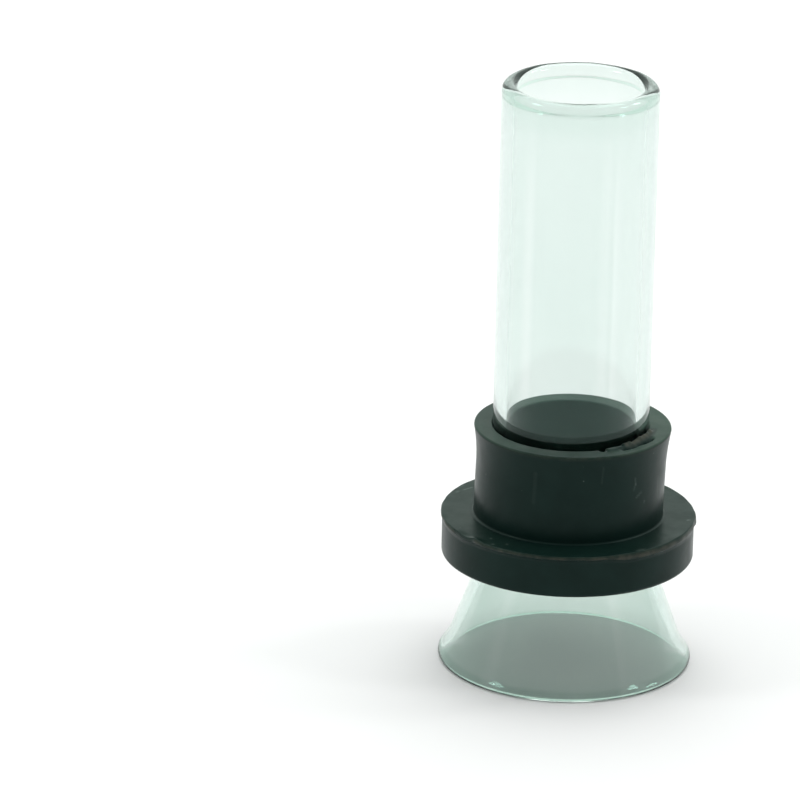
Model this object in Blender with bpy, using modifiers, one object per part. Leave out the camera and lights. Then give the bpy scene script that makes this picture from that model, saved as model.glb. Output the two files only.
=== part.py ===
"""Glass bell diffuser: a clear glass tube flared into a bell, with a rubber grommet that slides on it.

Metres, +Z up. The origin is the centre of the bell's rim, where the object stands, and +Z runs up the
tube's axis to its plain end.
"""

import math

import bpy

# Driving dimensions
TUBE_RADIUS = 0.0060
TUBE_WALL = 0.0010
TOTAL_HEIGHT = 0.0466
RIM_RADIUS = 0.0098
GROMMET_BASE = 0.0086
GROMMET_HEIGHT = 0.0106

# The bell: a bend at the neck, a cone that would reach CONE_RADIUS at the foot, and a flare near the rim
NECK_HEIGHT = 0.0100
NECK_BEND_RADIUS = 0.0060
CONE_RADIUS = 0.0096
FLARE_HEIGHT = 0.0022

# The bell's wall, measured across, thins as the tube is opened out, and its lip ends in a narrow flat
RIM_WALL = 0.00085
RIM_LAND = 0.0003
RIM_ROUND_HEIGHT = 0.0002

# The grommet's flange, towards the bell, and its collar, towards the plain end
FLANGE_RADIUS = 0.0099
FLANGE_THICKNESS = 0.0034
FLANGE_DRAFT = 0.00014
COLLAR_LIP_RADIUS = 0.0076
COLLAR_WAIST_RADIUS = 0.00732
COLLAR_LIP_HEIGHT = 0.0030
COLLAR_FILLET = 0.0005
EDGE_ROUND = 0.0002
FOOT_ROUND = 0.00035

# The bore clears the tube, and its lower mouth opens to clear the bell's neck
BORE_GAP = 0.0003
MOUTH_GAP = 0.0003
MOUTH_DEPTH = 0.0032

ROUND_STEPS = 72
BEND_STEPS = 5
FLARE_STEPS = 5
EDGE_STEPS = 3

GLASS_COLOUR = (0.86, 0.95, 0.92, 1.0)
RUBBER_COLOUR = (0.014, 0.020, 0.019, 1.0)


def clear_scene():
    for obj in list(bpy.data.objects):
        bpy.data.objects.remove(obj, do_unlink=True)


def new_collection(name):
    collection = bpy.data.collections.new(name)
    bpy.context.scene.collection.children.link(collection)
    return collection


def glass_material():
    material = bpy.data.materials.new("clear_glass")
    material.use_nodes = True
    shader = material.node_tree.nodes["Principled BSDF"]
    shader.inputs["Base Color"].default_value = GLASS_COLOUR
    shader.inputs["Roughness"].default_value = 0.02
    shader.inputs["IOR"].default_value = 1.47
    shader.inputs["Transmission Weight"].default_value = 1.0
    return material


def rubber_material():
    material = bpy.data.materials.new("black_rubber")
    material.use_nodes = True
    shader = material.node_tree.nodes["Principled BSDF"]
    shader.inputs["Base Color"].default_value = RUBBER_COLOUR
    shader.inputs["Roughness"].default_value = 0.45
    shader.inputs["Metallic"].default_value = 0.0
    return material


def arc(centre, radius, start, end, steps):
    """Points (r, z) on a circle about centre, from one angle to another in degrees, ends included."""
    points = []
    for step in range(steps + 1):
        angle = math.radians(start + (end - start) * step / steps)
        points.append((centre[0] + radius * math.cos(angle), centre[1] + radius * math.sin(angle)))
    return points


def bend(tube_radius, bend_radius, corner_height, slope):
    """The bend from a vertical wall at tube_radius, running down, to a cone that opens at slope degrees."""
    tangent = bend_radius * math.tan(math.radians(slope / 2))
    centre = (tube_radius + bend_radius, corner_height + tangent)
    return arc(centre, bend_radius, 180, 180 + slope, BEND_STEPS)


def flared_side(cone_radius, slope):
    """Points (r, z) down one face of the bell near its rim. slope is the cone's opening as a ratio."""
    outer_slope = (CONE_RADIUS - TUBE_RADIUS) / NECK_HEIGHT
    flare = RIM_RADIUS - CONE_RADIUS + outer_slope * RIM_ROUND_HEIGHT
    points = []
    for step in range(FLARE_STEPS + 1):
        share = step / FLARE_STEPS
        height = FLARE_HEIGHT + (RIM_ROUND_HEIGHT - FLARE_HEIGHT) * share
        points.append((cone_radius - slope * height + flare * share ** 2, height))
    return points


def glass_profile():
    """Closed outline (r, z) of the glass: down the outside, across the lip and up the inside."""
    bore_radius = TUBE_RADIUS - TUBE_WALL
    end_round = TUBE_WALL / 2
    end_centre = (TUBE_RADIUS - end_round, TOTAL_HEIGHT - end_round)
    outer_slope = (CONE_RADIUS - TUBE_RADIUS) / NECK_HEIGHT
    outer_angle = math.degrees(math.atan(outer_slope))
    inner_corner = NECK_HEIGHT - TUBE_WALL * math.tan(math.radians(outer_angle / 2))
    inner_cone = CONE_RADIUS - RIM_WALL
    inner_slope = (inner_cone - bore_radius) / inner_corner
    inner_angle = math.degrees(math.atan(inner_slope))
    land_middle = RIM_RADIUS - RIM_WALL / 2

    outline = arc(end_centre, end_round, 180, 0, 2 * BEND_STEPS)
    outline += bend(TUBE_RADIUS, NECK_BEND_RADIUS, NECK_HEIGHT, outer_angle)
    outline += flared_side(CONE_RADIUS, outer_slope)
    outline += [(land_middle + RIM_LAND / 2, 0.0), (land_middle - RIM_LAND / 2, 0.0)]
    inside = bend(bore_radius, NECK_BEND_RADIUS + TUBE_WALL, inner_corner, inner_angle)
    inside += flared_side(inner_cone, inner_slope)
    return outline + inside[::-1]


def collar_side(top, bottom):
    """The collar's hollow side: the lip's radius at the top, easing in to the waist and then straight."""
    points = []
    for step in range(BEND_STEPS + 1):
        share = step / BEND_STEPS
        swell = (1 - share) ** 2
        radius = COLLAR_WAIST_RADIUS + (COLLAR_LIP_RADIUS - COLLAR_WAIST_RADIUS) * swell
        points.append((radius, top - COLLAR_LIP_HEIGHT * share))
    points += arc(
        (COLLAR_WAIST_RADIUS + COLLAR_FILLET, bottom + COLLAR_FILLET), COLLAR_FILLET, 180, 270, BEND_STEPS
    )
    return points


def grommet_profile():
    """Closed outline (r, z above the flange's lower face) of the grommet, down the outside and up the bore."""
    bore_radius = TUBE_RADIUS + BORE_GAP
    neck_slope = (CONE_RADIUS - TUBE_RADIUS) / NECK_HEIGHT
    neck_radius = CONE_RADIUS - neck_slope * GROMMET_BASE
    mouth_radius = neck_radius + 2 * MOUTH_GAP
    lip_centre = (COLLAR_LIP_RADIUS - EDGE_ROUND, GROMMET_HEIGHT - EDGE_ROUND)
    flange_centre = (FLANGE_RADIUS - EDGE_ROUND, FLANGE_THICKNESS - EDGE_ROUND)
    foot_centre = (FLANGE_RADIUS - FLANGE_DRAFT - FOOT_ROUND, FOOT_ROUND)

    outline = [(bore_radius, GROMMET_HEIGHT - EDGE_ROUND), (bore_radius + EDGE_ROUND, GROMMET_HEIGHT)]
    outline += arc(lip_centre, EDGE_ROUND, 90, 0, EDGE_STEPS)
    outline += collar_side(GROMMET_HEIGHT - 2 * EDGE_ROUND, FLANGE_THICKNESS)
    outline += arc(flange_centre, EDGE_ROUND, 90, 0, EDGE_STEPS)
    outline += arc(foot_centre, FOOT_ROUND, 0, -90, BEND_STEPS)
    outline += [(mouth_radius, 0.0), (bore_radius, MOUTH_DEPTH)]
    return outline


def turned(name, outline, height, material, collection):
    """A solid turned about +Z from a closed outline, with its origin on the axis at the given height."""
    mesh = bpy.data.meshes.new(name)
    points = [(radius, 0.0, z) for radius, z in outline]
    edges = [(i, (i + 1) % len(points)) for i in range(len(points))]
    mesh.from_pydata(points, edges, [])
    obj = bpy.data.objects.new(name, mesh)
    collection.objects.link(obj)
    obj.location = (0.0, 0.0, height)
    mesh.materials.append(material)

    screw = obj.modifiers.new("turn", "SCREW")
    screw.axis = "Z"
    screw.angle = 2 * math.pi
    screw.steps = ROUND_STEPS
    screw.render_steps = ROUND_STEPS
    screw.use_merge_vertices = True
    screw.merge_threshold = 0.00001
    screw.use_smooth_shade = True
    return obj


def main():
    clear_scene()
    collection = new_collection("glass_bell_diffuser")
    glass = turned("glass_bell_tube", glass_profile(), 0.0, glass_material(), collection)
    grommet = turned("rubber_grommet", grommet_profile(), GROMMET_BASE, rubber_material(), collection)
    grommet.parent = glass


main()
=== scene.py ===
"""Looks of the glass bell diffuser: fine glass and rubber meshes, their materials, light and camera.

The two CAD solids are replaced by finer turned meshes of the same size. Angles about +Z are in degrees,
with the side that faces the camera at -90 and +X at 0.
"""

import math

import bpy
import numpy as np
from mathutils import Matrix, Vector


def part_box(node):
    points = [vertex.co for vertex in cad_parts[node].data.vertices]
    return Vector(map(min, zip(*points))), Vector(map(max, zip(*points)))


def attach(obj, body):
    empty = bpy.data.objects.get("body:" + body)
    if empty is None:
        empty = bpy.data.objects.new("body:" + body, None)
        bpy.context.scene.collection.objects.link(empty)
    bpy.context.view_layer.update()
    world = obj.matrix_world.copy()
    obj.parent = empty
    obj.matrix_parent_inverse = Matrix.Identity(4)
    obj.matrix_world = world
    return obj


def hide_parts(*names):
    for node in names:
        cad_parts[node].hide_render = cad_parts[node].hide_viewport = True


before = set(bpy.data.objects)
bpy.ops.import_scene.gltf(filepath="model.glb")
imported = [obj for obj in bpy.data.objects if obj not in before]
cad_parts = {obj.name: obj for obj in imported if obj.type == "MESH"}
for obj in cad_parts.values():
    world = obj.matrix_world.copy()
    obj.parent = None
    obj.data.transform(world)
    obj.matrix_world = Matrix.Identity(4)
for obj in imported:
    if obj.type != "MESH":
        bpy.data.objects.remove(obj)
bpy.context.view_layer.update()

MM = 0.001

# Sizes read from the frame
GLASS_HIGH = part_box("glass_bell_tube")[1]
GROMMET_LOW, GROMMET_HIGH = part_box("rubber_grommet")
RIM_RADIUS = GLASS_HIGH.x
TOP = GLASS_HIGH.z
FLANGE_RADIUS = GROMMET_HIGH.x
GROMMET_BASE = GROMMET_LOW.z
GROMMET_TOP = GROMMET_HIGH.z

# The glass: its tube, the cone that opens from the neck, the flare near the rim and the round lip
TUBE_RADIUS = 6.0 * MM
WALL = 1.0 * MM
NECK_HEIGHT = 10.0 * MM
NECK_BEND = 6.0 * MM
CONE_RADIUS = 9.6 * MM
CONE_SLOPE = (CONE_RADIUS - TUBE_RADIUS) / NECK_HEIGHT
FLARE_HEIGHT = 2.2 * MM
LIP_WALL = 0.66 * MM
LIP_ANGLE = 36.0
THINNING_HEIGHT = NECK_HEIGHT + 1.5 * MM

# The fire-polished bead round the plain end, which swells into the bore
BEAD_WALL = 1.23 * MM
BEAD_RISE = 0.66 * MM
BEAD_FADE = 0.64 * MM
BEAD_FOOT = TOP - BEAD_RISE
BEAD_END = BEAD_FOOT - BEAD_FADE

# How far the hand-worked glass wanders from true
TUBE_OVAL = 0.010 * MM
TUBE_LOBES = 0.008 * MM

# The grommet: its collar, its flange and the flash round the flange's upper edge
FLANGE_THICKNESS = 3.4 * MM
FLANGE_TOP = GROMMET_BASE + FLANGE_THICKNESS
COLLAR_LIP_RADIUS = 7.6 * MM
COLLAR_WAIST_RADIUS = 7.32 * MM
COLLAR_LIP_HEIGHT = 3.0 * MM
COLLAR_FILLET = 0.18 * MM
COLLAR_OFFSET = 0.16 * MM
BORE_RADIUS = TUBE_RADIUS + 0.035 * MM
EDGE_ROUND = 0.14 * MM
FOOT_ROUND = 0.35 * MM
FLASH_OUT = 0.16 * MM
FLASH_DEPTH = 0.26 * MM
SIDE_RADIUS = FLANGE_RADIUS - FLASH_OUT
MOUTH_DEPTH = 3.2 * MM
MOUTH_GAP = 0.3 * MM

# Where the rubber is damaged, in degrees: a notch, a flap, a ridge and a groove at the bore's lip,
# then a nub, a tear, a lifted place and a sunken place at the flange's edge
NOTCH_ANGLE = -68.0
NOTCH_DEPTH = 0.34 * MM
NOTCH_OPENING = 0.20 * MM
FLAP_ANGLES = (-64.5, -52.0)
FLAP_RISE = 0.10 * MM
RIDGE_ANGLES = (-49.0, -14.0)
RIDGE_RISE = 0.26 * MM
RIDGE_OUT = 0.16 * MM
GROOVE_ANGLES = (-50.0, -30.0)
GROOVE_DEPTH = 0.36 * MM
GROOVE_OUT = 0.62 * MM
NUB_ANGLE = -5.5
NUB_REACH = 0.13 * MM
TEAR_ANGLES = (-152.0, -140.0)
TEAR_DEPTH = 0.10 * MM
LIFTED_ANGLE = -137.0
LIFTED_RISE = 0.14 * MM
SUNKEN_ANGLE = -146.0
SUNKEN_DEPTH = 0.10 * MM
FLASH_SHORTFALL = 0.035 * MM

# Where the flash hangs deeper, in degrees, and how much deeper as a share of its depth
FLASH_GROWTH_ALL = 0.25
FLASH_GROWTH_RIGHT = 0.95
FLASH_GROWTH_LEFT = 0.35
FLASH_RIGHT_ANGLES = (-62.0, -8.0)
FLASH_LEFT_ANGLE = -150.0

# Smooth random waves round the axis: seed, the number of waves in each of its parts, size
BELL_RUNOUT = (11, (2, 3, 5), 0.030 * MM)
BORE_LINES = (12, (9, 14, 23), 0.0012 * MM)
BEAD_UNEVEN = (13, (2, 3, 5), 0.022 * MM)
TOP_UNEVEN = (14, (2, 3, 4), 0.045 * MM)
DRAW_LINES = (21, (17, 29, 41, 53), 1.0)
FLASH_UNEVEN = (31, (5, 9, 16, 27, 43), 0.030 * MM)
FLANGE_WORN = (32, (7, 12, 20, 33), 0.018 * MM)
RUBBER_RUNOUT = (33, (2, 3, 7), 0.012 * MM)
COLLAR_UNEVEN = (34, (2, 5, 9), 0.014 * MM)
TORN_ROUGHNESS = (41, (13, 22, 37, 61), 0.42)
TORN_PATH = (42, (11, 19, 31), 0.07 * MM)

# Painted highlights: bands of clearer tint down the glass, in degrees: middle, half width and strength of
# each soft one, then the right-hand one, which starts sharply and falls away in two stages
LEFT_HIGHLIGHT_BAND = (-129.0, 7.0, 0.85)
BACK_HIGHLIGHT_BAND = (62.0, 9.0, 0.5)
FAR_HIGHLIGHT_BAND = (131.0, 6.0, 0.4)
RIGHT_HIGHLIGHT_BAND_STRENGTH = 0.95
RIGHT_HIGHLIGHT_BAND_START = (-64.5, -62.5)
RIGHT_HIGHLIGHT_BAND_FALL = (-61.0, -56.0)
RIGHT_HIGHLIGHT_BAND_END = (-34.0, -22.0)

# How strongly each place is marked, from 0 to 1, and where round the torn lip, in degrees
# Painted shade darkens the tint at the plain end and over the bead; the bell's tint is deeper
PLAIN_END_PAINTED_SHADE = 0.30
BEAD_PAINTED_SHADE = 0.15
BELL_DEEPER_TINT = 0.55
DRAW_LINE_CLEARNESS = 0.10
COLLAR_LIP_WEAR = 0.35
FLASH_WEAR = 0.60
TORN_WEAR_ANGLES = (-48.0, -10.0)
TORN_CLEAN_ANGLES = (-60.0, -8.0)
# Pale dust on the level tops that is also painted sheen, taken mostly off the front as painted shade
FLANGE_DUST_AND_SHEEN = 0.22
FRONT_PAINTED_SHADE = 0.75
BORE_GRAIN = 0.10

# Steps of the meshes: round the axis, then along each stretch of an outline
GLASS_STEPS = 288
RUBBER_STEPS = 520
BEAD_STEPS = 28
BEAD_FADE_STEPS = 16
TUBE_STEPS = 44
NECK_STEPS = 14
CONE_STEPS = 12
FLARE_STEPS = 14
LIP_STEPS = 16
BORE_LIP_STEPS = 5
COLLAR_TOP_STEPS = 26
COLLAR_LIP_STEPS = 6
WAIST_STEPS = 30
COLLAR_SIDE_STEPS = 30
FILLET_STEPS = 8
FLANGE_TOP_STEPS = 24
FLASH_STEPS = 14
FLANGE_SIDE_STEPS = 8
FOOT_STEPS = 10
UNDERSIDE_STEPS = 5
MOUTH_STEPS = 4
BORE_STEPS = 8

# Scratches on the collar's side: from (degrees, mm up), to (degrees, mm up), width in mm, strength
COLLAR_SCRATCHES = (
    ((-71.5, 18.3), (-71.8, 17.0), 0.11, 0.05),
    ((-48.8, 16.9), (-48.2, 16.4), 0.12, 0.12),
    ((-48.2, 16.4), (-49.4, 16.0), 0.12, 0.10),
    ((-47.0, 15.3), (-43.0, 15.6), 0.12, 0.12),
    ((-40.0, 14.7), (-39.6, 14.72), 0.10, 0.22),
    ((-112.0, 17.6), (-113.0, 15.2), 0.22, 0.03),
    ((-25.0, 16.2), (-24.0, 14.4), 0.15, 0.07),
    ((40.0, 17.0), (47.0, 15.1), 0.12, 0.16),
    ((95.0, 15.0), (101.0, 15.5), 0.12, 0.16),
    ((160.0, 18.0), (163.0, 16.0), 0.13, 0.14),
)

# Scratches and specks on the flange's upper face: from (x, y) mm, to (x, y) mm, width in mm, strength
FLANGE_SCRATCHES = (
    ((-8.05, 4.2), (-7.4, 4.8), 0.13, 0.40),
    ((-8.45, 4.7), (-8.1, 5.2), 0.12, 0.30),
    ((-8.6, 3.7), (-8.5, 3.9), 0.16, 0.30),
    ((9.2, -1.4), (9.3, -1.35), 0.14, 0.45),
    ((-6.0, -6.2), (-6.0, -6.2), 0.12, 0.55),
    ((-5.9, -7.4), (-5.85, -7.4), 0.12, 0.50),
    ((-4.8, -7.4), (-4.8, -7.35), 0.12, 0.50),
    ((5.1, -8.1), (5.6, -7.9), 0.12, 0.26),
    ((5.3, -7.8), (5.7, -7.7), 0.11, 0.18),
    ((3.0, 8.4), (4.4, 7.9), 0.12, 0.35),
)

# Linear colours
WHITE = (1.0, 1.0, 1.0, 1.0)
GLASS_TINT_DEEP = (0.687, 0.778, 0.748, 1.0)
GLASS_TINT_PALE = (0.725, 0.807, 0.778, 1.0)
# Clearer tint for the draw lines and for the painted highlight bands
GLASS_TINT_DRAW_LINE_AND_HIGHLIGHT = (0.805, 0.860, 0.842, 1.0)
GLASS_INNER = (0.99, 1.0, 0.995, 1.0)
# Darker tint: painted shade at the plain end and the bead, and the bell's deeper tint
GLASS_RIM_SHADE_AND_BELL_TINT = (0.80, 0.88, 0.84, 1.0)
GLASS_SHEEN_TINT = (0.62, 0.88, 0.80, 1.0)
RUBBER_DARK = (0.0024, 0.0108, 0.0092, 1.0)
RUBBER_LIGHT = (0.0046, 0.0160, 0.0138, 1.0)
RUBBER_WORN = (0.066, 0.060, 0.048, 1.0)
# Pale dust colour, which also paints the sheen on the level tops
RUBBER_DUST_AND_SHEEN = (0.034, 0.062, 0.046, 1.0)
RUBBER_SCRATCH = (0.16, 0.19, 0.175, 1.0)
RUBBER_SHEEN_TINT = (0.80, 1.0, 0.93, 1.0)
FLOOR_DARK = (0.940, 0.865, 0.900, 1.0)
FLOOR_LIGHT = (0.950, 0.875, 0.910, 1.0)
LAMP_COLOUR = (0.93, 1.0, 0.965)

# How the surfaces take light
GLASS_IOR = 1.47
SMEAR_ROUGHNESS = 0.035
RUBBER_SPECULAR = 0.13
RUBBER_ROUGHNESS = (0.29, 0.39)
WORN_ROUGHNESS = 0.15
FLOOR_ROUGHNESS = 0.8

# The room's light, linear: dim on the camera's side, bright towards the direction given
ROOM_DIM = (0.17, 0.19, 0.18)
ROOM_BRIGHT = (0.89, 1.0, 0.945)
ROOM_DIM_AT = 0.15
ROOM_BRIGHT_AT = 0.95
ROOM_BRIGHT_TOWARDS = (0.0, 0.80, 0.60)
ROOM_STRENGTH = 1.08

# Lamps: name, degrees from the camera's side, degrees up, distance and width in metres, watts
LAMPS = (
    ("left_softbox", -80.0, 42.0, 1.8, 0.42, 3.8),
    ("right_softbox", 78.0, 40.0, 1.8, 0.32, 3.0),
    ("right_back_softbox", 106.0, 40.0, 1.8, 0.32, 3.0),
    ("top_softbox", 170.0, 72.0, 1.6, 1.3, 9.0),
)
FLOOR_HALF = 2.5

# Camera: the point it looks at, its distance, its angles and its lens
AIM = Vector((-13.17 * MM, 0.03 * MM, 20.84 * MM))
DISTANCE = 499.4 * MM
ELEVATION = 19.93
ROLL = 1.19
SENSOR = 36.0
LENS = 292.5
NEAREST = 0.01
FARTHEST = 20.0

# Light bounces that thick clear glass needs
BOUNCES = 32
GLOSSY_BOUNCES = 24


# ---------------------------------------------------------------- outlines and turned meshes


def arc(centre, radius_r, radius_z, start, end, steps):
    """Points (r, z) on an ellipse about centre, from one angle to another in degrees, ends included."""
    points = []
    for step in range(steps + 1):
        angle = math.radians(start + (end - start) * step / steps)
        points.append((centre[0] + radius_r * math.cos(angle), centre[1] + radius_z * math.sin(angle)))
    return points


def run(start, end, steps):
    """Points on the straight line between two points, without the ends."""
    points = []
    for step in range(1, steps):
        share = step / steps
        points.append((start[0] + (end[0] - start[0]) * share, start[1] + (end[1] - start[1]) * share))
    return points


def joined(stretches):
    """One closed outline, from pairs: a stretch's points, and the steps of the straight run after it."""
    outline = []
    for index, (points, steps) in enumerate(stretches):
        following = stretches[(index + 1) % len(stretches)][0]
        outline += points
        outline += run(points[-1], following[0], steps)
    return outline


def turned(name, outline, steps, shift):
    """A mesh turned about +Z from a closed outline. shift(r, z, angle) returns each point's x, y and z."""
    rows = np.array(outline)
    angles = np.linspace(0.0, 2 * math.pi, steps, endpoint=False)
    radius, angle = np.meshgrid(rows[:, 0], angles)
    height = np.meshgrid(rows[:, 1], angles)[0]
    points = np.stack(shift(radius, height, angle), axis=-1).reshape(-1, 3)
    count = len(rows)
    here = np.arange(steps)[:, None] * count + np.arange(count)[None, :]
    after = np.roll(here, -1, axis=1)
    faces = np.stack([here, after, np.roll(after, -1, axis=0), np.roll(here, -1, axis=0)], axis=-1)
    mesh = bpy.data.meshes.new(name)
    mesh.from_pydata(points.tolist(), [], faces.reshape(-1, 4).tolist())
    mesh.shade_smooth()
    obj = bpy.data.objects.new(name, mesh)
    bpy.context.scene.collection.objects.link(obj)
    return obj


def paint(obj, name, values):
    """Stores one number for each vertex, for a material to read."""
    stored = obj.data.attributes.new(name, "FLOAT", "POINT")
    stored.data.foreach_set("value", np.asarray(values, dtype=np.float32).ravel())


def points_of(obj):
    """The mesh's vertices as rows of x, y and z."""
    points = np.empty(len(obj.data.vertices) * 3)
    obj.data.vertices.foreach_get("co", points)
    return points.reshape(-1, 3)


# ---------------------------------------------------------------- smooth functions for uneven shapes


def window(value, centre, width):
    """1 at centre, easing to 0 at width away on either side."""
    share = np.clip(np.abs(value - centre) / width, 0.0, 1.0)
    return 0.5 + 0.5 * np.cos(math.pi * share)


def rise(value, low, high):
    """0 at low or less, easing to 1 at high or more."""
    share = np.clip((value - low) / (high - low), 0.0, 1.0)
    return share * share * (3.0 - 2.0 * share)


def plateau(value, low, high, soft):
    """1 between low and high, easing to 0 over soft at each end."""
    return rise(value, low - soft, low) * (1.0 - rise(value, high, high + soft))


def wander(angle, seed, orders, size):
    """A smooth random wave round the axis, made of waves of these orders."""
    random = np.random.RandomState(seed)
    total = np.zeros_like(angle)
    for order in orders:
        total += random.uniform(0.4, 1.0) * np.cos(order * angle + random.uniform(0.0, 2 * math.pi))
    return size * total / math.sqrt(len(orders))


def degrees_round(angle):
    """An angle in radians about +Z as degrees from -180 to 180."""
    return (np.degrees(angle) + 180.0) % 360.0 - 180.0


def polar(points):
    """Each point's distance from the axis and its angle about it in degrees."""
    return np.hypot(points[:, 0], points[:, 1]), degrees_round(np.arctan2(points[:, 1], points[:, 0]))


# ---------------------------------------------------------------- the glass


def glass_outside():
    """The outer face (r, z) from below the bead down to the start of the lip."""
    angle = math.degrees(math.atan(CONE_SLOPE))
    tangent = NECK_BEND * math.tan(math.radians(angle / 2))
    bend_centre = (TUBE_RADIUS + NECK_BEND, NECK_HEIGHT + tangent)
    bend = arc(bend_centre, NECK_BEND, NECK_BEND, 180, 180 + angle, NECK_STEPS)
    lip_round = LIP_WALL / 2
    lip_start = lip_round * (1 + math.sin(math.radians(LIP_ANGLE)))
    lip_radius = RIM_RADIUS - lip_round * (1 - math.cos(math.radians(LIP_ANGLE)))
    flare = lip_radius - (CONE_RADIUS - CONE_SLOPE * lip_start)
    side = []
    for step in range(FLARE_STEPS + 1):
        share = step / FLARE_STEPS
        height = FLARE_HEIGHT + (lip_start - FLARE_HEIGHT) * share
        side.append((CONE_RADIUS - CONE_SLOPE * height + flare * share ** 2, height))
    foot = (TUBE_RADIUS, BEAD_FOOT)
    end = (TUBE_RADIUS, BEAD_END)
    tube = [foot] + run(foot, end, BEAD_FADE_STEPS) + [end] + run(end, bend[0], TUBE_STEPS)
    return tube + bend + run(bend[-1], side[0], CONE_STEPS) + side


def glass_outline():
    """The glass's closed outline: over the bead, down the outside, round the lip and up the bore."""
    outside = np.array(glass_outside())
    along = np.gradient(outside, axis=0)
    along /= np.linalg.norm(along, axis=1)[:, None]
    normal = np.stack([-along[:, 1], along[:, 0]], axis=1)
    thinning = np.clip(1.0 - outside[:, 1] / THINNING_HEIGHT, 0.0, 1.0)
    wall = WALL + (LIP_WALL - WALL) * thinning
    inside = outside - normal * wall[:, None]
    inside[:, 0] -= (BEAD_WALL - WALL) * rise(inside[:, 1], BEAD_END, BEAD_FOOT)
    lip_round = LIP_WALL / 2
    lip_centre = outside[-1] - normal[-1] * lip_round
    lip_start = math.degrees(math.atan2(normal[-1, 1], normal[-1, 0]))
    lip = arc(lip_centre, lip_round, lip_round, lip_start, lip_start - 180, LIP_STEPS)
    bead = arc((TUBE_RADIUS - BEAD_WALL / 2, BEAD_FOOT), BEAD_WALL / 2, BEAD_RISE, 180, 0, BEAD_STEPS)
    return bead + outside[1:-1].tolist() + lip + inside[1:-1][::-1].tolist()


def glass_shift(radius, height, angle):
    """Hand-worked unevenness: a slightly oval tube, a bell that runs out and draw lines in the bore."""
    bell = np.clip(1.0 - height / NECK_HEIGHT, 0.0, 1.0)
    near_top = rise(height, TOP - 2.2 * MM, TOP - 0.6 * MM)
    inside = radius < TUBE_RADIUS - 0.5 * WALL
    radius = radius + TUBE_OVAL * np.cos(2 * angle + 0.7)
    radius = radius + TUBE_LOBES * np.cos(3 * angle + 0.4)
    radius = radius + bell * wander(angle, *BELL_RUNOUT)
    radius = radius + np.where(inside, wander(angle, *BORE_LINES), 0.0)
    radius = radius - np.where(inside, near_top * np.abs(wander(angle, *BEAD_UNEVEN)), 0.0)
    height = height - near_top * np.abs(wander(angle, *TOP_UNEVEN))
    return radius * np.cos(angle), radius * np.sin(angle), height


def glass_skin(points):
    """1 on the glass's outer face and 0 on its inner face, changing at the middle of the wall."""
    radius = np.hypot(points[:, 0], points[:, 1])
    cone = CONE_RADIUS - CONE_SLOPE * points[:, 2]
    middle = np.maximum(TUBE_RADIUS, cone) - WALL / 2
    return rise(radius - middle, -0.06 * MM, 0.06 * MM)


def glass_rim_shade_and_bell_tint(points):
    """How much darker the tint is made: some as painted shade at the plain end and bead, most on the bell,
    none between.
    """
    height = points[:, 2]
    plain_end = PLAIN_END_PAINTED_SHADE * rise(height, TOP - 3.4 * MM, TOP - 1.4 * MM)
    bead = BEAD_PAINTED_SHADE * rise(height, TOP - 0.9 * MM, TOP - 0.5 * MM)
    bell = BELL_DEEPER_TINT * rise(-height, -NECK_HEIGHT, -6.0 * MM)
    return np.clip(plain_end + bead + bell, 0.0, 1.0)


def soft_highlight_band(degree, band):
    """A painted highlight band down the glass, strongest in its middle."""
    middle, half_width, strength = band
    return strength * window(degree, middle, half_width)


def glass_draw_lines_and_painted_highlights(points):
    """Faint draw lines and a few broader painted highlight bands down the glass, which fade near the plain
    end.
    """
    angle = np.arctan2(points[:, 1], points[:, 0])
    degree = degrees_round(angle)
    # Painted highlights: the bright bands down the front of the tube, as clearer tint at fixed angles
    left = soft_highlight_band(degree, LEFT_HIGHLIGHT_BAND)
    sharp_edge = rise(degree, *RIGHT_HIGHLIGHT_BAND_START)
    falling = (1.0 - 0.55 * rise(degree, *RIGHT_HIGHLIGHT_BAND_FALL)) * (1.0 - rise(degree, *RIGHT_HIGHLIGHT_BAND_END))
    right = RIGHT_HIGHLIGHT_BAND_STRENGTH * sharp_edge * falling
    back = soft_highlight_band(degree, BACK_HIGHLIGHT_BAND) + soft_highlight_band(degree, FAR_HIGHLIGHT_BAND)
    lines = DRAW_LINE_CLEARNESS * np.abs(wander(angle, *DRAW_LINES))
    fade = 0.25 + 0.75 * rise(-points[:, 2], 3.0 * MM - TOP, 9.0 * MM - TOP)
    return np.clip((left + right + back + lines) * fade, 0.0, 1.0)


# ---------------------------------------------------------------- the grommet


def collar_side():
    """The collar's lip and its side down to the waist, which swells towards the lip."""
    corner = (COLLAR_LIP_RADIUS - EDGE_ROUND, GROMMET_TOP - EDGE_ROUND)
    points = arc(corner, EDGE_ROUND, EDGE_ROUND, 90, 0, COLLAR_LIP_STEPS)
    for step in range(1, WAIST_STEPS + 1):
        share = step / WAIST_STEPS
        radius = COLLAR_WAIST_RADIUS + (COLLAR_LIP_RADIUS - COLLAR_WAIST_RADIUS) * (1 - share) ** 2
        points.append((radius, GROMMET_TOP - EDGE_ROUND - COLLAR_LIP_HEIGHT * share))
    return points


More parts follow.
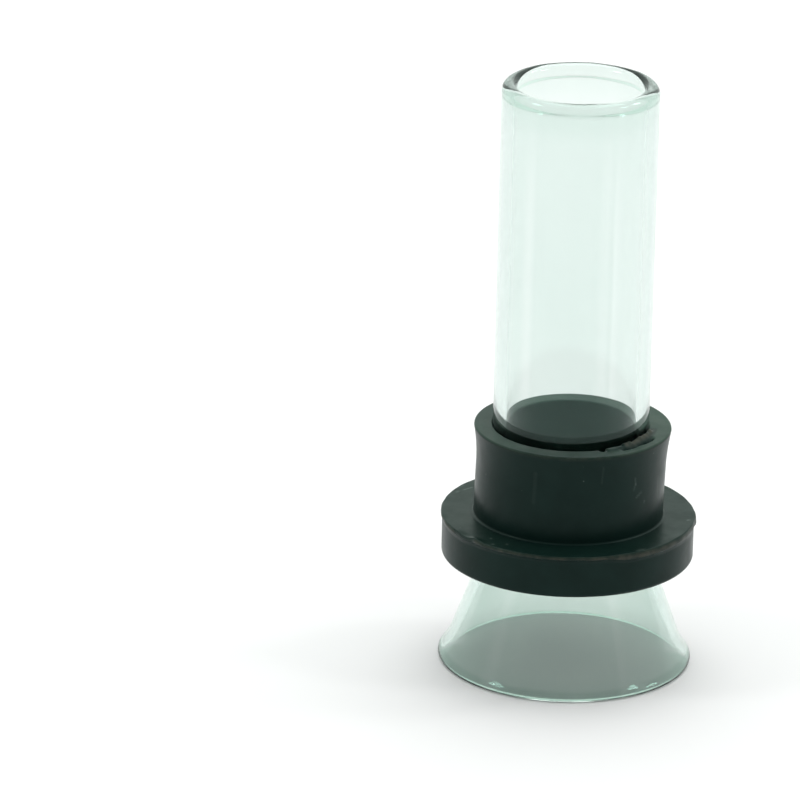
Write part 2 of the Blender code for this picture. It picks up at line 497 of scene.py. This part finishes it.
def grommet_outline():
    """The grommet's closed outline: over the collar, over the flange, then up the mouth and the bore."""
    bore_corner = (BORE_RADIUS + EDGE_ROUND, GROMMET_TOP - EDGE_ROUND)
    bore_lip = arc(bore_corner, EDGE_ROUND, EDGE_ROUND, 180, 90, BORE_LIP_STEPS)
    fillet_centre = (COLLAR_WAIST_RADIUS + COLLAR_FILLET, FLANGE_TOP + COLLAR_FILLET)
    fillet = arc(fillet_centre, COLLAR_FILLET, COLLAR_FILLET, 180, 270, FILLET_STEPS)
    flash_centre = (SIDE_RADIUS, FLANGE_TOP - FLASH_DEPTH / 2)
    flash = arc(flash_centre, FLASH_OUT, FLASH_DEPTH / 2, 90, -90, FLASH_STEPS)
    foot_centre = (SIDE_RADIUS - FOOT_ROUND, GROMMET_BASE + FOOT_ROUND)
    foot = arc(foot_centre, FOOT_ROUND, FOOT_ROUND, 0, -90, FOOT_STEPS)
    mouth = [(CONE_RADIUS - CONE_SLOPE * GROMMET_BASE + MOUTH_GAP, GROMMET_BASE)]
    throat = [(BORE_RADIUS, GROMMET_BASE + MOUTH_DEPTH)]
    return joined((
        (bore_lip, COLLAR_TOP_STEPS),
        (collar_side(), COLLAR_SIDE_STEPS),
        (fillet, FLANGE_TOP_STEPS),
        (flash, FLANGE_SIDE_STEPS),
        (foot, UNDERSIDE_STEPS),
        (mouth, MOUTH_STEPS),
        (throat, BORE_STEPS),
    ))


def torn_lip(depth, degree):
    """How far the collar's top rises at this depth from the bore: a notch, a flap, a ridge and a groove."""
    turn = np.radians(degree)
    rough = 1.0 + wander(turn, *TORN_ROUGHNESS)
    notch = -NOTCH_DEPTH * window(degree, NOTCH_ANGLE, 3.4) * (1.0 - rise(depth, 0.05 * MM, 0.5 * MM))
    flap = FLAP_RISE * plateau(degree, *FLAP_ANGLES, 2.5) * (1.0 - rise(depth, 0.3 * MM, 0.8 * MM))
    ridge = RIDGE_RISE * plateau(degree, *RIDGE_ANGLES, 4.0) * window(depth, RIDGE_OUT, 0.28 * MM) * rough
    path = GROOVE_OUT + wander(turn, *TORN_PATH)
    groove = -GROOVE_DEPTH * plateau(degree, *GROOVE_ANGLES, 9.0) * window(depth, path, 0.26 * MM) * rough
    return notch + flap + ridge + groove


def flash_growth(degree):
    """How much deeper the flash is than its least depth, round the flange."""
    right = FLASH_GROWTH_RIGHT * plateau(degree, *FLASH_RIGHT_ANGLES, 12.0)
    left = FLASH_GROWTH_LEFT * window(degree, FLASH_LEFT_ANGLE, 20.0)
    return FLASH_GROWTH_ALL + right + left


def flange_edge(radius, height, degree, angle):
    """The flange's upper edge: flash of uneven depth and reach, a nub at the right and a lifted tear."""
    below = FLANGE_TOP - height
    deeper = FLASH_DEPTH * (1.0 + flash_growth(degree))
    share = np.clip(below / FLASH_DEPTH, 0.0, 1.0)
    rest = np.clip((below - FLASH_DEPTH) / (FLANGE_THICKNESS - FLASH_DEPTH), 0.0, 1.0)
    moved = share * deeper + rest * (FLANGE_THICKNESS - deeper)
    at_edge = (radius > SIDE_RADIUS - 0.01 * MM) & (below > -0.001 * MM)
    height = np.where(at_edge, FLANGE_TOP - moved, height)
    proud = rise(radius, SIDE_RADIUS + 0.01 * MM, FLANGE_RADIUS)
    nub = window(degree, NUB_ANGLE, 3.2)
    reach = wander(angle, *FLASH_UNEVEN) - FLASH_SHORTFALL
    reach = reach + NUB_REACH * nub * rise(below, 0.1 * MM, 0.3 * MM)
    tear = plateau(degree, *TEAR_ANGLES, 3.0)
    radius = radius + proud * (np.minimum(reach, 0.0) * (1.0 - tear) - TEAR_DEPTH * tear)
    radius = radius + proud * NUB_REACH * nub * rise(below, 0.06 * MM, 0.2 * MM) * 0.3
    rim = rise(radius, FLANGE_RADIUS - 0.7 * MM, FLANGE_RADIUS - 0.1 * MM)
    lifted = LIFTED_RISE * window(degree, LIFTED_ANGLE, 6.0)
    lifted = lifted - SUNKEN_DEPTH * window(degree, SUNKEN_ANGLE, 7.0)
    worn = wander(angle, *FLANGE_WORN)
    return radius, height + rim * rise(-below, -0.5 * MM, 0.0) * (lifted + worn)


def grommet_shift(radius, height, angle):
    """Moulded rubber's unevenness: the torn lip, the flange's flash and a slight lean of the collar."""
    degree = degrees_round(angle)
    free = rise(radius, BORE_RADIUS + 0.1 * MM, BORE_RADIUS + 1.0 * MM)
    top = rise(height, GROMMET_TOP - 0.6 * MM, GROMMET_TOP - 0.2 * MM)
    depth = radius - BORE_RADIUS
    radius, height = flange_edge(radius, height, degree, angle)
    height = height + top * torn_lip(depth, degree)
    opened = window(degree, NOTCH_ANGLE, 3.2) * (1.0 - rise(depth, 0.0, 0.5 * MM))
    radius = radius + top * NOTCH_OPENING * opened
    radius = radius + free * wander(angle, *RUBBER_RUNOUT)
    height = height + free * top * wander(angle, *COLLAR_UNEVEN)
    lean = COLLAR_OFFSET * rise(height, FLANGE_TOP, GROMMET_TOP) * free
    return radius * np.cos(angle) + lean, radius * np.sin(angle), height


def stroke(points, start, end, width):
    """1 along the straight stroke from start to end, easing to 0 at width from it."""
    first = np.array(start)
    along = np.array(end) - first
    share = np.clip((points - first) @ along / max(float(along @ along), 1e-12), 0.0, 1.0)
    away = np.linalg.norm(points - first - share[:, None] * along, axis=1)
    return 1.0 - rise(away, 0.35 * width, width)


def collar_scratches(points):
    """The scratches on the collar's side, with the side laid out flat as (distance round, height)."""
    radius, degree = polar(points)
    shown = (radius < COLLAR_LIP_RADIUS + 0.3 * MM) & (radius > BORE_RADIUS + 0.9 * MM)
    shown &= (points[:, 2] > FLANGE_TOP + 0.3 * MM) & (points[:, 2] < GROMMET_TOP - 0.05 * MM)
    flat = np.stack([np.radians(degree) * COLLAR_WAIST_RADIUS, points[:, 2]], axis=1)
    total = np.zeros(len(points))
    for start, end, width, strength in COLLAR_SCRATCHES:
        first = (math.radians(start[0]) * COLLAR_WAIST_RADIUS, start[1] * MM)
        last = (math.radians(end[0]) * COLLAR_WAIST_RADIUS, end[1] * MM)
        total += strength * shown * stroke(flat, first, last, width * MM)
    return total


def flange_scratches(points):
    """The scratches and specks on the flange's upper face."""
    radius = np.hypot(points[:, 0], points[:, 1])
    shown = (radius > COLLAR_WAIST_RADIUS + 0.2 * MM) & (np.abs(points[:, 2] - FLANGE_TOP) < 0.25 * MM)
    total = np.zeros(len(points))
    for start, end, width, strength in FLANGE_SCRATCHES:
        first = (start[0] * MM, start[1] * MM)
        last = (end[0] * MM, end[1] * MM)
        total += strength * shown * stroke(points[:, :2], first, last, width * MM)
    return total


def rubber_wear(points):
    """Paler rubber where it is rubbed: the collar's upper edge, the flash and the torn ridge."""
    radius, degree = polar(points)
    lip = window(radius, COLLAR_LIP_RADIUS, 0.35 * MM) * window(points[:, 2], GROMMET_TOP, 0.35 * MM)
    flash = rise(radius, FLANGE_RADIUS - 0.13 * MM, FLANGE_RADIUS - 0.02 * MM)
    at_top = rise(points[:, 2], GROMMET_TOP - 0.3 * MM, GROMMET_TOP)
    at_ridge = window(radius - BORE_RADIUS, 0.24 * MM, 0.34 * MM) * at_top
    torn = plateau(degree, *TORN_WEAR_ANGLES, 4.0) * at_ridge
    return np.clip(COLLAR_LIP_WEAR * lip + FLASH_WEAR * flash + torn, 0.0, 1.0)


def rubber_dust_and_painted_sheen(points):
    """Pale dust and painted sheen on the level surfaces, with painted shade thinning it at the front, and
    absent where the lip is torn.
    """
    radius, degree = polar(points)
    collar = rise(points[:, 2], GROMMET_TOP - 0.12 * MM, GROMMET_TOP - 0.04 * MM)
    flat = (radius > COLLAR_WAIST_RADIUS + 0.3 * MM) & (points[:, 2] > FLANGE_TOP - 0.2 * MM)
    flange = FLANGE_DUST_AND_SHEEN * flat * rise(-points[:, 2], -FLANGE_TOP - 0.6 * MM, -FLANGE_TOP - 0.2 * MM)
    # Painted shade: the front, facing the camera, keeps little of the pale sheen
    front = 1.0 - FRONT_PAINTED_SHADE * window(degree, -90.0, 75.0)
    clean = 1.0 - rise(radius - BORE_RADIUS, 0.55 * MM, 0.75 * MM)
    torn = plateau(degree, *TORN_CLEAN_ANGLES, 5.0) * clean
    return np.clip((collar + flange) * front * (1.0 - torn), 0.0, 1.0)


def rubber_grain(points):
    """1 where the moulded grain shows, and little in the bore, which the glass keeps polished."""
    radius = np.hypot(points[:, 0], points[:, 1])
    return BORE_GRAIN + (1.0 - BORE_GRAIN) * rise(radius, BORE_RADIUS + 0.25 * MM, BORE_RADIUS + 0.6 * MM)


# ---------------------------------------------------------------- shader nodes


def new_material(name):
    """A new material, its node tree and its main shader."""
    material = bpy.data.materials.new(name)
    material.use_nodes = True
    return material, material.node_tree, material.node_tree.nodes["Principled BSDF"]


def position(tree):
    """The point in the object's own space."""
    return tree.nodes.new("ShaderNodeTexCoord").outputs["Object"]


def attribute(tree, name):
    """A number that paint() stored on the mesh."""
    node = tree.nodes.new("ShaderNodeAttribute")
    node.attribute_name = name
    return node.outputs["Fac"]


def noise(tree, vector, scale, detail, stretch=(1.0, 1.0, 1.0)):
    """Noise over a vector, after the vector is scaled by stretch."""
    mapping = tree.nodes.new("ShaderNodeMapping")
    mapping.inputs["Scale"].default_value = stretch
    texture = tree.nodes.new("ShaderNodeTexNoise")
    texture.inputs["Scale"].default_value = scale
    texture.inputs["Detail"].default_value = detail
    tree.links.new(vector, mapping.inputs["Vector"])
    tree.links.new(mapping.outputs["Vector"], texture.inputs["Vector"])
    return texture.outputs["Fac"]


def ranged(tree, value, low, high, to_low, to_high):
    """A value taken from one range to another and held inside it."""
    node = tree.nodes.new("ShaderNodeMapRange")
    node.inputs["From Min"].default_value = low
    node.inputs["From Max"].default_value = high
    node.inputs["To Min"].default_value = to_low
    node.inputs["To Max"].default_value = to_high
    tree.links.new(value, node.inputs["Value"])
    return node.outputs["Result"]


def give(tree, socket, value):
    """Links an output to a socket, or sets the socket to a number or a colour."""
    if isinstance(value, (int, float, tuple)):
        socket.default_value = value
    else:
        tree.links.new(value, socket)


def colour_mix(tree, blend, share, first, second):
    """A colour mix node. Its colour sockets share their names with others, so they are found by type."""
    node = tree.nodes.new("ShaderNodeMix")
    node.data_type = "RGBA"
    node.blend_type = blend
    give(tree, node.inputs["Factor"], share)
    colours = [socket for socket in node.inputs if socket.type == "RGBA"]
    give(tree, colours[0], first)
    give(tree, colours[1], second)
    return next(socket for socket in node.outputs if socket.type == "RGBA")


def mixed(tree, share, first, second):
    """A colour between two, by share. Each of them is a colour or an output."""
    return colour_mix(tree, "MIX", share, first, second)


def combined(tree, operation, first, second):
    """A math node on two values, each a number or an output."""
    node = tree.nodes.new("ShaderNodeMath")
    node.operation = operation
    give(tree, node.inputs[0], first)
    give(tree, node.inputs[1], second)
    return node.outputs[0]


def specks(tree, vector, scale, size):
    """1 in small round spots, about one to a cell of this scale but present in few of them."""
    cells = tree.nodes.new("ShaderNodeTexVoronoi")
    cells.inputs["Scale"].default_value = scale
    tree.links.new(vector, cells.inputs["Vector"])
    spot = ranged(tree, cells.outputs["Distance"], 0.5 * size, size, 1.0, 0.0)
    parts = tree.nodes.new("ShaderNodeSeparateXYZ")
    tree.links.new(cells.outputs["Color"], parts.inputs["Vector"])
    chosen = combined(tree, "GREATER_THAN", parts.outputs["X"], 0.80)
    return combined(tree, "MULTIPLY", spot, chosen)


def bumped(tree, height, distance, strength, normal=None):
    """A normal bumped by a height, on top of another bumped normal if one is given."""
    bump = tree.nodes.new("ShaderNodeBump")
    bump.inputs["Strength"].default_value = strength
    bump.inputs["Distance"].default_value = distance
    tree.links.new(height, bump.inputs["Height"])
    if normal is not None:
        tree.links.new(normal, bump.inputs["Normal"])
    return bump.outputs["Normal"]


# ---------------------------------------------------------------- materials


def glass_material():
    """Clear glass, tinted on its outer skin: painted shade at the plain end, deeper on the bell, draw
    lines, painted highlights, smudges and waviness.
    """
    material, tree, shader = new_material("clear_glass_worked")
    shader.inputs["IOR"].default_value = GLASS_IOR
    shader.inputs["Transmission Weight"].default_value = 1.0
    shader.inputs["Specular Tint"].default_value = GLASS_SHEEN_TINT
    place = position(tree)
    cloud = ranged(tree, noise(tree, place, scale=90.0, detail=2.0), 0.3, 0.7, 0.0, 1.0)
    tint = mixed(tree, cloud, GLASS_TINT_DEEP, GLASS_TINT_PALE)
    # Painted highlight bands, with the faint draw lines, lighten the tint
    tint = mixed(tree, attribute(tree, "draw_lines_and_painted_highlights"), tint, GLASS_TINT_DRAW_LINE_AND_HIGHLIGHT)
    clear = mixed(tree, attribute(tree, "skin"), GLASS_INNER, tint)
    # Painted shade darkens the tint at the plain end and bead; the tint is also deeper on the bell
    rim_shade_and_bell_tint = mixed(tree, attribute(tree, "rim_shade_and_bell_tint"), WHITE, GLASS_RIM_SHADE_AND_BELL_TINT)
    tree.links.new(colour_mix(tree, "MULTIPLY", 1.0, clear, rim_shade_and_bell_tint), shader.inputs["Base Color"])
    smear = noise(tree, place, scale=200.0, detail=2.0, stretch=(1.0, 1.0, 0.35))
    tree.links.new(ranged(tree, smear, 0.55, 0.80, 0.0, SMEAR_ROUGHNESS), shader.inputs["Roughness"])
    wave = noise(tree, place, scale=60.0, detail=1.0, stretch=(1.0, 1.0, 0.15))
    tree.links.new(bumped(tree, wave, distance=0.06 * MM, strength=0.06), shader.inputs["Normal"])
    return material


def rubber_colour(tree, place, worn):
    """Mottled black, paler where worn, with scratches and specks, and pale dust with painted sheen on the
    level surfaces.
    """
    mottle = ranged(tree, noise(tree, place, scale=420.0, detail=6.0), 0.3, 0.7, 0.0, 1.0)
    colour = mixed(tree, mottle, RUBBER_DARK, RUBBER_LIGHT)
    colour = mixed(tree, worn, colour, RUBBER_WORN)
    spots = combined(tree, "MULTIPLY", specks(tree, place, scale=1100.0, size=0.08), 0.25)
    marks = combined(tree, "MAXIMUM", attribute(tree, "scratches"), spots)
    colour = mixed(tree, marks, colour, RUBBER_SCRATCH)
    uneven = ranged(tree, noise(tree, place, scale=130.0, detail=4.0), 0.35, 0.65, 0.3, 1.0)
    # Pale dust with painted sheen on the level tops
    settled_dust_and_sheen = combined(tree, "MULTIPLY", attribute(tree, "dust_and_painted_sheen"), uneven)
    return mixed(tree, settled_dust_and_sheen, colour, RUBBER_DUST_AND_SHEEN)


def rubber_normal(tree, place):
    """Moulded skin: a shallow orange peel under a fine grain, both weak in the bore."""
    shown = attribute(tree, "grain")
    peel = combined(tree, "MULTIPLY", noise(tree, place, scale=1300.0, detail=3.0), shown)
    grain = combined(tree, "MULTIPLY", noise(tree, place, scale=7000.0, detail=3.0), shown)
    peeled = bumped(tree, peel, distance=0.03 * MM, strength=0.18)
    return bumped(tree, grain, distance=0.01 * MM, strength=0.20, normal=peeled)


def rubber_material():
    """Black moulded rubber: mottled, finely grained, scratched, dusty with painted sheen on its tops, and
    rubbed paler on its edges.
    """
    material, tree, shader = new_material("black_rubber_moulded")
    shader.inputs["Specular IOR Level"].default_value = RUBBER_SPECULAR
    shader.inputs["Specular Tint"].default_value = RUBBER_SHEEN_TINT
    place = position(tree)
    patchy = ranged(tree, noise(tree, place, scale=1500.0, detail=4.0), 0.35, 0.62, 0.25, 1.0)
    worn = combined(tree, "MULTIPLY", attribute(tree, "wear"), patchy)
    tree.links.new(rubber_colour(tree, place, worn), shader.inputs["Base Color"])
    dull = ranged(tree, noise(tree, place, scale=700.0, detail=5.0), 0.3, 0.7, *RUBBER_ROUGHNESS)
    duller = combined(tree, "ADD", dull, combined(tree, "MULTIPLY", worn, WORN_ROUGHNESS))
    tree.links.new(duller, shader.inputs["Roughness"])
    tree.links.new(rubber_normal(tree, place), shader.inputs["Normal"])
    return material


def floor_material():
    """Plain pale studio board with a barely visible tooth. Its colour evens out the tint of the light."""
    material, tree, shader = new_material("pale_floor")
    place = position(tree)
    cloud = noise(tree, place, scale=3.0, detail=2.0)
    tree.links.new(mixed(tree, cloud, FLOOR_DARK, FLOOR_LIGHT), shader.inputs["Base Color"])
    shader.inputs["Roughness"].default_value = FLOOR_ROUGHNESS
    tooth = noise(tree, place, scale=2500.0, detail=2.0)
    tree.links.new(bumped(tree, tooth, distance=0.02 * MM, strength=0.1), shader.inputs["Normal"])
    return material


# ---------------------------------------------------------------- pieces, floor, light and camera


def make_glass():
    """The glass bell tube, which takes the place of its CAD solid."""
    glass = turned("worked_glass_bell_tube", glass_outline(), GLASS_STEPS, glass_shift)
    points = points_of(glass)
    paint(glass, "skin", glass_skin(points))
    paint(glass, "draw_lines_and_painted_highlights", glass_draw_lines_and_painted_highlights(points))
    paint(glass, "rim_shade_and_bell_tint", glass_rim_shade_and_bell_tint(points))
    glass.data.materials.append(glass_material())
    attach(glass, "glass")
    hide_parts("glass_bell_tube")


def make_grommet():
    """The rubber grommet, which takes the place of its CAD solid."""
    grommet = turned("moulded_rubber_grommet", grommet_outline(), RUBBER_STEPS, grommet_shift)
    points = points_of(grommet)
    scratches = collar_scratches(points) + flange_scratches(points)
    paint(grommet, "wear", rubber_wear(points))
    paint(grommet, "scratches", np.clip(scratches, 0.0, 1.0))
    paint(grommet, "dust_and_painted_sheen", rubber_dust_and_painted_sheen(points))
    paint(grommet, "grain", rubber_grain(points))
    grommet.data.materials.append(rubber_material())
    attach(grommet, "grommet")
    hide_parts("rubber_grommet")


def make_floor():
    """A plain square floor, far wider than the view."""
    half = FLOOR_HALF
    mesh = bpy.data.meshes.new("studio_floor")
    corners = [(-half, -half, 0.0), (half, -half, 0.0), (half, half, 0.0), (-half, half, 0.0)]
    mesh.from_pydata(corners, [], [(0, 1, 2, 3)])
    mesh.materials.append(floor_material())
    floor = bpy.data.objects.new("studio_floor", mesh)
    bpy.context.scene.collection.objects.link(floor)


def make_lamp(name, azimuth, elevation, distance, width, power):
    """A round soft lamp aimed at the object. Its azimuth is measured from the camera's side."""
    turn = math.radians(azimuth)
    lift = math.radians(elevation)
    data = bpy.data.lights.new(name, "AREA")
    data.shape = "DISK"
    data.size = width
    data.energy = power
    data.color = LAMP_COLOUR
    light = bpy.data.objects.new(name, data)
    bpy.context.scene.collection.objects.link(light)
    away = Vector((math.sin(turn) * math.cos(lift), -math.cos(turn) * math.cos(lift), math.sin(lift)))
    light.location = away * distance
    light.rotation_euler = (-away).to_track_quat("-Z", "Y").to_euler()


def make_world():
    """A plain studio room: pale overhead and behind the object, dim behind the camera."""
    world = bpy.data.worlds.new("studio")
    bpy.context.scene.world = world
    world.use_nodes = True
    tree = world.node_tree
    towards = tree.nodes.new("ShaderNodeVectorMath")
    towards.operation = "DOT_PRODUCT"
    direction = tree.nodes.new("ShaderNodeTexCoord").outputs["Generated"]
    tree.links.new(direction, towards.inputs[0])
    towards.inputs[1].default_value = ROOM_BRIGHT_TOWARDS
    ramp = tree.nodes.new("ShaderNodeValToRGB")
    dim, bright = ramp.color_ramp.elements
    dim.position = ROOM_DIM_AT
    dim.color = (*ROOM_DIM, 1.0)
    bright.position = ROOM_BRIGHT_AT
    bright.color = (*ROOM_BRIGHT, 1.0)
    share = ranged(tree, towards.outputs["Value"], -1.0, 1.0, 0.0, 1.0)
    tree.links.new(share, ramp.inputs["Fac"])
    background = tree.nodes["Background"]
    tree.links.new(ramp.outputs["Color"], background.inputs["Color"])
    background.inputs["Strength"].default_value = ROOM_STRENGTH


def make_camera():
    """The camera at the photograph's viewing angle."""
    data = bpy.data.cameras.new("studio_camera")
    data.sensor_width = SENSOR
    data.lens = LENS
    data.clip_start = NEAREST
    data.clip_end = FARTHEST
    camera = bpy.data.objects.new("studio_camera", data)
    bpy.context.scene.collection.objects.link(camera)
    tilt = Matrix.Rotation(math.radians(90 - ELEVATION), 4, "X")
    roll = Matrix.Rotation(math.radians(ROLL), 4, "Z")
    back = tilt.to_3x3() @ Vector((0.0, 0.0, 1.0))
    camera.matrix_world = Matrix.Translation(AIM + back * DISTANCE) @ tilt @ roll
    bpy.context.scene.camera = camera


def set_view():
    """A plain display transform, and enough light bounces for the glass."""
    scene = bpy.context.scene
    scene.view_settings.view_transform = "Standard"
    scene.cycles.max_bounces = BOUNCES
    scene.cycles.transmission_bounces = BOUNCES
    scene.cycles.glossy_bounces = GLOSSY_BOUNCES


make_glass()
make_grommet()
make_floor()
for lamp in LAMPS:
    make_lamp(*lamp)
make_world()
make_camera()
set_view()
bpy.context.view_layer.update()
